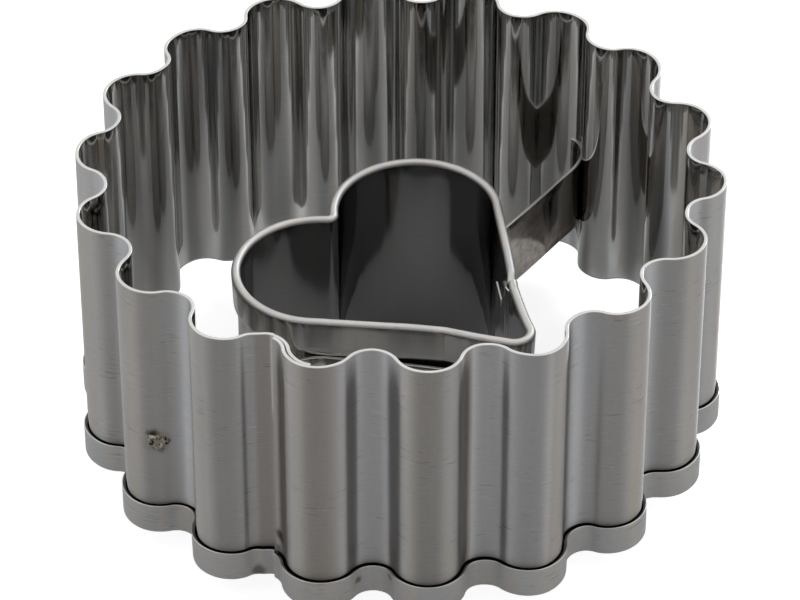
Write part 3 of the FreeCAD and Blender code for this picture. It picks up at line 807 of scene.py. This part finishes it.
# Painted shade and painted light on the ring's outside: in these stretches of degrees the crest tone is
# raised towards the darker crest colour, or lowered by a share towards the lighter hollow colour.
PAINTED_SHADE_BANDS = [(-161.8, -154.6), (-127.0, -122.3), (-108.0, -103.0)]
PAINTED_LIGHT_BANDS, PAINTED_LIGHT_SHARE, FADE = [(-119.0, -109.5)], 0.6, 0.8


def smooth(share):
    """The blend 3 t^2 - 2 t^3, held at 0 and 1 outside."""
    share = np.clip(share, 0, 1)
    return share ** 2 * (3 - 2 * share)


def angles(points):
    """The angle of each point about the ring's axis, in degrees."""
    return np.degrees(np.arctan2(points[:, 1], points[:, 0]))


def uneven(points):
    """Ring points with some flutes pushed in or out, and some slid along the ring."""
    angle, far = angles(points), np.linalg.norm(points, axis=1)
    turn = np.radians(angle) + bumps(angle, BEND_REACH, SLID) / far
    far = far + bumps(angle, BEND_REACH, PUSHED) + bumps(angle, CREASE_REACH, CREASED)
    return np.stack([far * np.cos(turn), far * np.sin(turn)], 1)


def banded(angle, painted_bands):
    """1 inside each band of degrees, falling smoothly to 0 within FADE degrees outside it."""
    return sum(smooth((angle - low) / FADE + 1) * smooth((high - angle) / FADE + 1) for low, high in painted_bands)


def painted_crest_tone(angle):
    """sin^2 of half the flutes' phase: 1 on a crest, 0 in a hollow, the tone of a painted reflection, with
    painted shade and painted light laid over it.
    """
    crest = np.sin(np.radians(angle * FLUTES / 2)) ** 2
    crest = crest * (1 - PAINTED_LIGHT_SHARE * banded(angle, PAINTED_LIGHT_BANDS))
    return np.clip(crest + banded(angle, PAINTED_SHADE_BANDS), 0, 1)


# %% Ring surface
RING_STEP, RING_ROWS, RING_INSET = 0.2, 26, 0.04
RING_RIPPLE, RING_SEED, RING_WAVES = 0.02, 3, (1.9, 2.9, 4.7, 7.3)
LAP_STEP, LAP_DEPTH = 1.2, STRIP + 0.03
WALL_TUCK, TUCK_OVER, TUCK_FADE = 0.07, 0.5, 0.7

points, _, _ = sample(ring_path(), RING_STEP)
crest = painted_crest_tone(angles(points))
points = uneven(points)
spans, left = remeasured(points)
outline, finishes = hemmed_section(RING_FOOT, RING_TOP, RING_HEM, RING_ROWS)
height = np.repeat(outline[None, :, 1], len(points), 0)
across = outline[None, :, 0] - LAP_DEPTH * smooth((spans - spans[-1]) / LAP_STEP + 1)[:, None]
across = across - RING_INSET + ripple(spans, height, RING_RIPPLE, RING_SEED, RING_WAVES)
up_hem = np.clip((outline[:, 1] - RING_FOOT - STRIP) / (RING_HEM - STRIP), 0, 1)
up_hem = np.where(outline[:, 0] > STRIP / 2 + HEM_GAP / 2, up_hem, 0)
# Behind the hem the wall is drawn inwards a little, which widens the gap between them.
behind = smooth((RING_FOOT + RING_HEM + TUCK_OVER - height) / TUCK_FADE)
behind = behind * np.clip(1 - (outline[None, :, 0] - STRIP / 2) / HEM_GAP, 0, 1)
across = across - WALL_TUCK * behind
across = across + bumps(angles(points), LIP_REACH, LIP_OPEN)[:, None] * up_hem
ring = carried("ring_strip", points, -left, across, height, finishes, RING_FINISHES, spans, crest)
ring_line = (points, spans, -left)
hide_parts("outer_ring")

# %% [markdown]
# The scar of a spot weld
#
# Where the left arm's flange is welded to the ring, the outside shows a burnt nugget. It is a closed
# lens on the wall: its face is a ragged rim round a pit, and its back is sunk into the strip.

# %% Weld scar finish
BURNT, TAN, SPECK = (0.04, 0.032, 0.025), (0.42, 0.37, 0.30), (0.9, 0.88, 0.84)
PATCH_NOISE, SPECK_NOISE = (2600, 3.0, 0.6), (6500, 2.0, 0.5)
PATCH_EDGE, SPECK_EDGE = (0.42, 0.54), (0.62, 0.68)
SCAR_GLOSS, SCAR_DULL = 0.2, 0.4
SCAR_BUMP, SCAR_DEPTH = 0.8, 0.00004


def scar_material():
    """Burnt steel: tan and dark patches with bright specks, and a rough relief."""
    material, nodes, links, output = new_material("burnt_weld")
    tree = material.node_tree
    metal = set_inputs(nodes.new("ShaderNodeBsdfPrincipled"), Metallic=1.0)
    patches, specks = even(tree, *PATCH_NOISE), even(tree, *SPECK_NOISE)
    relief = set_inputs(nodes.new("ShaderNodeBump"), Strength=SCAR_BUMP, Distance=SCAR_DEPTH)
    skin = mixed(tree, ramp(tree, patches, *PATCH_EDGE), BURNT, TAN)
    links.new(mixed(tree, ramp(tree, specks, *SPECK_EDGE), skin, SPECK), metal.inputs["Base Color"])
    dull = maths(tree, "MULTIPLY", patches, SCAR_DULL)
    links.new(maths(tree, "ADD", SCAR_GLOSS, dull), metal.inputs["Roughness"])
    links.new(patches, relief.inputs["Height"])
    links.new(relief.outputs[0], metal.inputs["Normal"])
    links.new(metal.outputs[0], output.inputs["Surface"])
    return material


# %% Weld scar
SCAR_ANGLE, SCAR_HIGH, SCAR_SIZE, SCAR_RISE = 175.2, 11.05, 0.8, 0.16
SCAR_ROWS, SCAR_SIDES, SCAR_SQUASH = 23, 40, 0.85
RIM_AT, RIM_WIDTH, PIT_WIDTH, PIT_DEPTH = 0.72, 0.2, 0.4, 0.6
RIM_LUMPS, LUMP_COUNT = 0.35, 4
FACE_DOME, BACK_DEPTH, POLE_SINK, SCAR_SEAT = 0.03, 0.12, 0.5, 0.01
# Each wave of the ragged edge: its size, how many go round, and its start in radians.
RAGS = ((0.14, 3, 1), (0.09, 5, 2), (0.05, 9, 0))


def scar_grid():
    """Along, up and lift of the lens: its face rises by rise * (rim ring - pit), its back sinks."""
    latitude = np.linspace(0, math.pi, SCAR_ROWS + 2)[1:-1, None]
    turn = np.linspace(0, 2 * math.pi, SCAR_SIDES + 1)[None, :-1]
    ragged = sum((size * np.sin(waves * turn + start) for size, waves, start in RAGS), 1)
    share = np.sin(latitude)
    rim = np.exp(-((share - RIM_AT) / RIM_WIDTH) ** 2) * (1 + RIM_LUMPS * np.sin(LUMP_COUNT * turn))
    rim = rim - PIT_DEPTH * np.exp(-(share / PIT_WIDTH) ** 2)
    slope = np.cos(latitude)
    face = SCAR_RISE * rim * np.maximum(slope, 0) ** 0.5 + FACE_DOME * slope
    lift = np.where(latitude < math.pi / 2, face, BACK_DEPTH * slope)
    along = share * ragged * SCAR_SIZE * np.cos(turn)
    up = share * ragged * SCAR_SIZE * np.sin(turn) * SCAR_SQUASH
    poles = np.array([FACE_DOME - POLE_SINK * SCAR_RISE, -BACK_DEPTH])
    return (np.append(along, [0, 0]), np.append(up, [0, 0]), np.append(lift, poles) + STRIP / 2 - SCAR_SEAT)


def weld_scar(name, degrees, high):
    """The lens, set on the ring's outside at an angle and a height."""
    points, spans, outward = ring_line
    centre = spans[np.argmin(np.abs((angles(points) - degrees + 180) % 360 - 180))]
    along, up, lift = scar_grid()
    at = centre + along
    plan = [np.interp(at, spans, points[:, n]) + lift * np.interp(at, spans, outward[:, n]) for n in (0, 1)]
    vertices = np.stack([*plan, high + up], 1) * MM
    quads = lattice(SCAR_ROWS, SCAR_SIDES)[2]
    j = np.arange(SCAR_SIDES)
    k = (j + 1) % SCAR_SIDES
    face_pole, back_pole = len(vertices) - 2, len(vertices) - 1
    foot = (SCAR_ROWS - 1) * SCAR_SIDES
    top = np.stack([np.full(SCAR_SIDES, face_pole), j, k], 1)
    bottom = np.stack([np.full(SCAR_SIDES, back_pole), foot + k, foot + j], 1)
    mesh = bpy.data.meshes.new(name)
    mesh.from_pydata(vertices.tolist(), [], quads.reshape(-1, 4).tolist() + top.tolist() + bottom.tolist())
    mesh.materials.append(scar_material())
    mesh.shade_smooth()
    piece = placed(name, mesh)
    print(name, "faces:", len(mesh.polygons))


weld_scar("weld_scar_left", SCAR_ANGLE, SCAR_HIGH)

# %% [markdown]
# The lap of the ring
#
# At the seam the strip's last millimetre steps inward by its own thickness. It then follows the
# wall on the inside to the next crest, without a hem, and opens a little where the spot weld
# doesn't hold it.

# %% Ring lap surface
LAP_START, LAP_SPACING, LAP_ROWS = 0.3, 0.12, 13
LAP_OPENING, OPENING_STRETCH = 0.09, 1.15
LAP_THINNER, LAP_BELOW, LAP_SEAT = 0.004, 0.03, 0.02

lap_start = SEAM_BEARING + math.degrees(LAP_START / VALLEY_RADIUS)
lap_path = [turned(("arc", VALLEY, VALLEY_RADIUS, lap_start, LEAVE), SEAM_VALLEY),
            turned(("arc", CREST, CREST_RADIUS, LEAVE - 180, PITCH / 2), SEAM_VALLEY)]
points = uneven(sample(lap_path, LAP_SPACING)[0])
spans, left = remeasured(points)
opening = LAP_OPENING * np.sin(np.pi * np.clip(spans / spans[-1] * OPENING_STRETCH, 0, 1))
outline, finishes = flat_section(STRIP - LAP_THINNER, RING_FOOT + STRIP, RING_TOP - LAP_BELOW, LAP_ROWS)
height = np.repeat(outline[None, :, 1], len(points), 0)
across = outline[None, :, 0] - LAP_DEPTH - LAP_SEAT - opening[:, None]
ring_lap = carried("ring_lap", points, -left, across, height, finishes, RING_FINISHES, spans)

# %% [markdown]
# The heart
#
# Half the heart is six tangent pieces: notch, lobe, flank, waist, flank and point. The other half
# is the same run mirrored and reversed. The strip starts and ends at the seam on the +X flank.

# %% Heart geometry
def heart_half():
    """Half of the heart's middle line, from the notch round the +X lobe to the point."""
    reach = LOBE_RADIUS + NOTCH_RADIUS
    notch = (0.0, LOBE_CENTRE[1] + math.sqrt(reach ** 2 - LOBE_CENTRE[0] ** 2))
    flank = polar(LOBE_RADIUS, -FLANK_LEAN, LOBE_CENTRE)
    apex = (0.0, -POINT_REACH)
    upper, lower = -90 - FLANK_LEAN, -90 - POINT_LEAN
    waist = meet(flank, upper, apex, lower)
    setback = WAIST_RADIUS * math.tan(math.radians((lower - upper) / 2))
    touch = polar(-setback, upper, waist)
    waist_arc = ("arc", polar(WAIST_RADIUS, upper + 90, touch), WAIST_RADIUS, upper - 90, lower - 90)
    rise = POINT_RADIUS / math.sin(math.radians(POINT_LEAN))
    point_arc = ("arc", (0.0, apex[1] + rise), POINT_RADIUS, -POINT_LEAN, -90)
    return waist, [
        ("arc", notch, NOTCH_RADIUS, -90, bearing(notch, LOBE_CENTRE)),
        ("arc", LOBE_CENTRE, LOBE_RADIUS, bearing(LOBE_CENTRE, notch), -FLANK_LEAN),
        ("line", flank, touch),
        waist_arc,
        ("line", ends(waist_arc)[1], ends(point_arc)[0]),
        point_arc,
    ]


def mirrored(piece):
    """The piece, mirrored in the Y axis."""
    if piece[0] == "line":
        return ("line", (-piece[1][0], piece[1][1]), (-piece[2][0], piece[2][1]))
    _, centre, radius, start, end = piece
    return ("arc", (-centre[0], centre[1]), radius, 180 - start, 180 - end)


def backwards(piece):
    """The same piece, drawn from its end to its start."""
    if piece[0] == "line":
        return ("line", piece[2], piece[1])
    return (*piece[:3], piece[4], piece[3])


WAIST, HALF = heart_half()
UP_FLANK = 90 - FLANK_LEAN
HEART_SEAM = polar(HEART_SEAM_SETBACK, UP_FLANK, ends(HALF[2])[1])
below = ("line", polar(-SLIT / 2, UP_FLANK, HEART_SEAM), ends(HALF[2])[1])
above = ("line", ends(HALF[2])[0], polar(SLIT / 2, UP_FLANK, HEART_SEAM))
heart_path = [below, *HALF[3:], *(backwards(mirrored(p)) for p in reversed(HALF)), *HALF[:2], above]

# %% Heart surface
HEART_SHIFT, SHIFT_FROM, SHIFT_FADE = np.array([-0.08, -0.15]), 14.2, 7.0
POINT_BEND, BEND_FROM, BEND_FADE = 0.38, -6.0, 6.0
HEART_STEP, HEART_ROWS, HEART_INSET = 0.16, 14, 0.01
HEART_RIPPLE, HEART_SEED = 0.014, 5
FOLD_GAP = 0.17
SEAM_DROP, SEAM_SINK, SEAM_FADE = 0.35, 0.1, 1.1


def bent(points):
    """Points moved with the heart, less and less towards the ring, and its tip leaning to -X."""
    near = 1 - smooth((np.linalg.norm(points, axis=1) - SHIFT_FROM) / SHIFT_FADE)
    lean = np.stack([POINT_BEND * smooth((BEND_FROM - points[:, 1]) / BEND_FADE), 0 * near], 1)
    return points + HEART_SHIFT * near[:, None] - lean


points, left, spans = sample(heart_path, HEART_STEP)
points = bent(points)
outline, finishes = hemmed_section(HEART_TOP, 0.0, HEART_HEM, HEART_ROWS, fold_gap=FOLD_GAP)
sunk = smooth((spans - spans[-1]) / SEAM_FADE + 1)[:, None]
height = outline[None, :, 1] * (1 - SEAM_DROP / HEART_TOP * sunk)
across = outline[None, :, 0] - SEAM_SINK * sunk - HEART_INSET
across = across + ripple(spans, height, HEART_RIPPLE, HEART_SEED)
heart = carried("heart_strip", points, left, across, height, finishes, HEART_FINISHES, spans)
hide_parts("heart_cutter")

# %% [markdown]
# The lap of the heart
#
# Inside the flank the lower end runs on past the seam. Its top corner is cut off, so its upper edge
# falls from the rim to a shoulder and then runs level to a tip that springs a little off the wall.

# %% Heart lap surface
# The heart's lap is called the tab here. Its section is drawn 1 mm tall and stretched to its edge.
TAB_BACK, TAB_TIP, TAB_THICK, TAB_SPRING = 1.4, 4.5, 0.17, 1.5
TAB_TOP, TAB_SHOULDER, TAB_NICK = HEART_TOP - 0.7, HEART_TOP - 3.75, 0.75
TAB_SLOPE, NICK_WIDTH = 2.2, 0.06
TAB_STEP, TAB_ROWS, TAB_DRAWN = 0.06, 14, 1.0
JOGGLE_REACH, JOGGLE_SEAT, JOGGLE_THINNER, JOGGLE_LEAST = 1.0, 0.02, 0.1, 0.01

inner, heading = polar(STRIP + HEM_GAP, UP_FLANK + 90, HEART_SEAM), UP_FLANK + TAB_SPRING
tab_path = [("line", polar(-TAB_BACK, heading, inner), polar(TAB_TIP, heading, inner))]
points, left, spans = sample(tab_path, TAB_STEP)
points = bent(points)
outline, finishes = flat_section(TAB_THICK, 0.0, TAB_DRAWN, TAB_ROWS)
edge = np.interp(spans - TAB_BACK, [0, TAB_SLOPE - NICK_WIDTH, TAB_SLOPE],
                 [TAB_TOP, TAB_SHOULDER - TAB_NICK, TAB_SHOULDER])
joggle = (STRIP + HEM_GAP - JOGGLE_SEAT) * (1 - smooth((spans - TAB_BACK) / JOGGLE_REACH + 1))
thinner = 1 - JOGGLE_THINNER * (joggle > JOGGLE_LEAST)
across = outline[None, :, 0] * thinner[:, None] - joggle[:, None]
high = outline[:, 1].max()
height = np.where(outline[:, 1] > TAB_DRAWN / 2, edge[:, None] - (high - outline[:, 1]), outline[:, 1])
walls = np.isclose(np.abs(outline[:, 0]), TAB_THICK / 2)
level = (outline[:, 1] - EDGE_ROUND) / (TAB_DRAWN - 2 * EDGE_ROUND)
height = np.where(walls, EDGE_ROUND + level * (edge[:, None] - 2 * EDGE_ROUND), height)
heart_lap = carried("heart_lap", points, left, across, height, finishes, HEART_FINISHES, spans)

# %% [markdown]
# The arms
#
# Each arm is a flat strip on edge: a leg beside the flank, a bend, a straight span, a second bend
# and a flange that follows the inside of a flute. The second arm is the mirror image of the first.

# %% Arm geometry
def arm_path():
    """The middle line of the arm on the +X side, from beside the waist to the ring."""
    seat = STRIP / 2 + SEAT + ARM / 2
    flange_radius = CREST_RADIUS - seat
    crest_angle = PITCH / 2
    start, end = (crest_angle + turn for turn in FLANGE)
    flange = ("arc", CREST, flange_radius, start, end)
    ring_bend = ("arc", polar(flange_radius - RING_BEND, start, CREST), RING_BEND, SPAN_LEAN - 90, start)
    span_end = ends(ring_bend)[0]
    beside_flank = polar(seat + HEART_BEND, UP_FLANK - 90, ends(HALF[2])[0])
    below_span = polar(HEART_BEND, SPAN_LEAN - 90, span_end)
    leg_heading = UP_FLANK + LEG_SPREAD
    heart_bend = ("arc", meet(beside_flank, UP_FLANK, below_span, SPAN_LEAN), HEART_BEND,
                  leg_heading + 90, SPAN_LEAN + 90)
    leg_end, span_start = ends(heart_bend)
    leg = math.dist(leg_end, WAIST) + LEG_PAST_WAIST
    return [("line", polar(-leg, leg_heading, leg_end), leg_end), heart_bend,
            ("line", span_start, span_end), ring_bend, flange]


# %% Arm surfaces
ARM_STEP, ARM_ROWS, ARM_RIPPLE, ARM_SEED = 0.15, 8, 0.006, 11

outline, finishes = flat_section(ARM, ARM_FOOT, ARM_TOP, ARM_ROWS)
for name, path in (("arm_right", arm_path()), ("arm_left", [mirrored(piece) for piece in arm_path()])):
    points, left, spans = sample(path, ARM_STEP)
    height = np.repeat(outline[None, :, 1], len(points), 0)
    points = bent(points)
    across = outline[None, :, 0] + ripple(spans, height, ARM_RIPPLE, ARM_SEED)
    arm = carried(name + "_strip", points, left, across, height, finishes, ARM_FINISHES, spans)
    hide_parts(name)

# %% The cutter's bounds
low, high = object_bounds()
